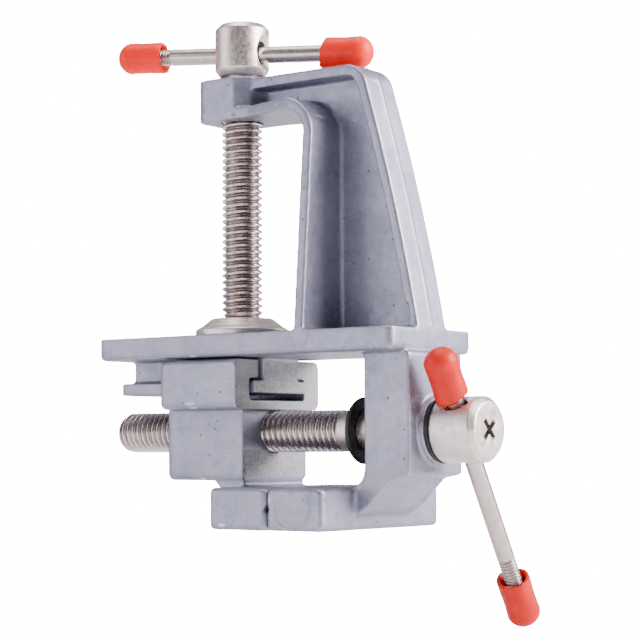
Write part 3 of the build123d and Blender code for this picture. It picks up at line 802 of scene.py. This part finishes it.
# Brightness that only the camera sees, which brings the floor and the surroundings out white
FLOOR_GLOW = 22.0
BACKDROP_GLOW = 24.0
FLOOR_SIZE = 8
FLOOR_GAP = 0.001             # below the object, in metres
LIGHT_SIDE = (-0.55, 0.65, 0.52)
DIM, BRIGHT = (0.085, 0.080, 0.083, 1), (0.45, 0.45, 0.465, 1)

CAMERA_PLACE = (0.2886, -0.3511, -0.0259)
CAMERA_YAW, CAMERA_PITCH, CAMERA_ROLL = math.radians(37.13), math.radians(3.77), math.radians(0.21)
LENS = 109.26
SENSOR = 36


def softbox(name, location, target, size, power, colour=(1, 1, 1)):
    """Rectangular area light that faces its target."""
    light = bpy.data.lights.new(name, "AREA")
    light.shape = "RECTANGLE"
    light.size, light.size_y = size
    light.energy = power
    light.color = colour
    lamp = bpy.data.objects.new(name, light)
    lamp.location = location
    lamp.rotation_euler = (Vector(target) - Vector(location)).to_track_quat("-Z", "Y").to_euler()
    bpy.context.scene.collection.objects.link(lamp)


def make_stage():
    """Pale floor that glows a little, so that it meets the white surroundings softly, and studio lights."""
    bpy.ops.mesh.primitive_plane_add(size=FLOOR_SIZE, location=(0, 0, CAD_BOX[0][2] - FLOOR_GAP))
    floor = bpy.context.object
    floor.name = "floor"
    n = Nodes("pale_floor")
    colour = n.mix(n.noise(0.004, 2), (0.92, 0.92, 0.92), (0.95, 0.95, 0.95))
    material = n.finish(colour, n.ramp(n.noise(0.01), 0, 1, 0.85, 0.95))
    seen = n.add("ShaderNodeLightPath").outputs["Is Camera Ray"]
    n.shader.inputs["Emission Color"].default_value = (1, 1, 1, 1)
    n.link(n.math("MULTIPLY", seen, FLOOR_GLOW), n.shader.inputs["Emission Strength"])
    material.cycles.emission_sampling = "NONE"
    floor.data.materials.append(material)

    world = bpy.data.worlds.new("studio")
    bpy.context.scene.world = world
    world.use_nodes = True
    world.cycles.sampling_method = "NONE"
    tree = world.node_tree
    toward = tree.nodes.new("ShaderNodeVectorMath")
    toward.operation = "DOT_PRODUCT"
    toward.inputs[1].default_value = Vector(LIGHT_SIDE).normalized()
    ramp = tree.nodes.new("ShaderNodeValToRGB")
    shift = tree.nodes.new("ShaderNodeMapRange")
    tree.links.new(tree.nodes.new("ShaderNodeTexCoord").outputs["Generated"], toward.inputs[0])
    tree.links.new(toward.outputs["Value"], shift.inputs["Value"])
    shift.inputs["From Min"].default_value = -1
    tree.links.new(shift.outputs["Result"], ramp.inputs["Fac"])
    dark, light = ramp.color_ramp.elements
    dark.position, dark.color = 0.22, DIM
    light.position, light.color = 0.80, BRIGHT
    around = tree.nodes["Background"]
    tree.links.new(ramp.outputs["Color"], around.inputs["Color"])
    around.inputs["Strength"].default_value = 1.0
    behind = tree.nodes.new("ShaderNodeBackground")
    behind.inputs["Strength"].default_value = BACKDROP_GLOW
    choose = tree.nodes.new("ShaderNodeMixShader")
    tree.links.new(tree.nodes.new("ShaderNodeLightPath").outputs["Is Camera Ray"], choose.inputs["Fac"])
    tree.links.new(around.outputs[0], choose.inputs[1])
    tree.links.new(behind.outputs[0], choose.inputs[2])
    tree.links.new(choose.outputs[0], tree.nodes["World Output"].inputs["Surface"])

    softbox("right", (0.66, 0.30, 0.34), (0, 0, 0), (0.55, 0.55), 24.0, (1.0, 0.98, 0.97))
    softbox("top", (-0.05, -0.10, 0.80), (0.02, 0, 0), (0.7, 0.5), 6.0)
    softbox("left", (-0.55, -0.62, 0.12), (0, 0, 0), (0.55, 0.8), 4.2, (0.95, 0.96, 1.0))
    softbox("low", (-0.05, -0.50, -0.06), (0, 0, 0), (0.5, 0.16), 1.0)


def make_camera():
    """Camera to the right and in front, looking slightly up."""
    camera = bpy.data.cameras.new("camera")
    camera.lens = LENS
    camera.sensor_width = SENSOR
    camera.clip_start = 0.01
    obj = bpy.data.objects.new("camera", camera)
    bpy.context.scene.collection.objects.link(obj)
    obj.location = CAMERA_PLACE
    turn = Matrix.Rotation(CAMERA_YAW, 4, "Z") @ Matrix.Rotation(math.pi / 2 + CAMERA_PITCH, 4, "X")
    obj.rotation_euler = (turn @ Matrix.Rotation(-CAMERA_ROLL, 4, "Z")).to_euler()
    bpy.context.scene.camera = obj


make_castings()
make_vise_screw()
make_clamp_screw()
# The vise bar's caps take 0.6 of the red, as painted shading.
make_bar("vise_bar", VISE_BAR, "vise_bar", threaded_end=-1, shown_thread=4.1,
         caps=(("vise_bar_cap_upper", 1), ("vise_bar_cap_lower", -1)), painted_shading=0.6,
         seated_cap="vise_bar_cap_upper")
make_bar("clamp_bar", CLAMP_BAR, "clamp_bar", threaded_end=-1, shown_thread=1.6,
         caps=(("clamp_bar_cap_right", 1), ("clamp_bar_cap_left", -1)))
make_stage()
make_camera()
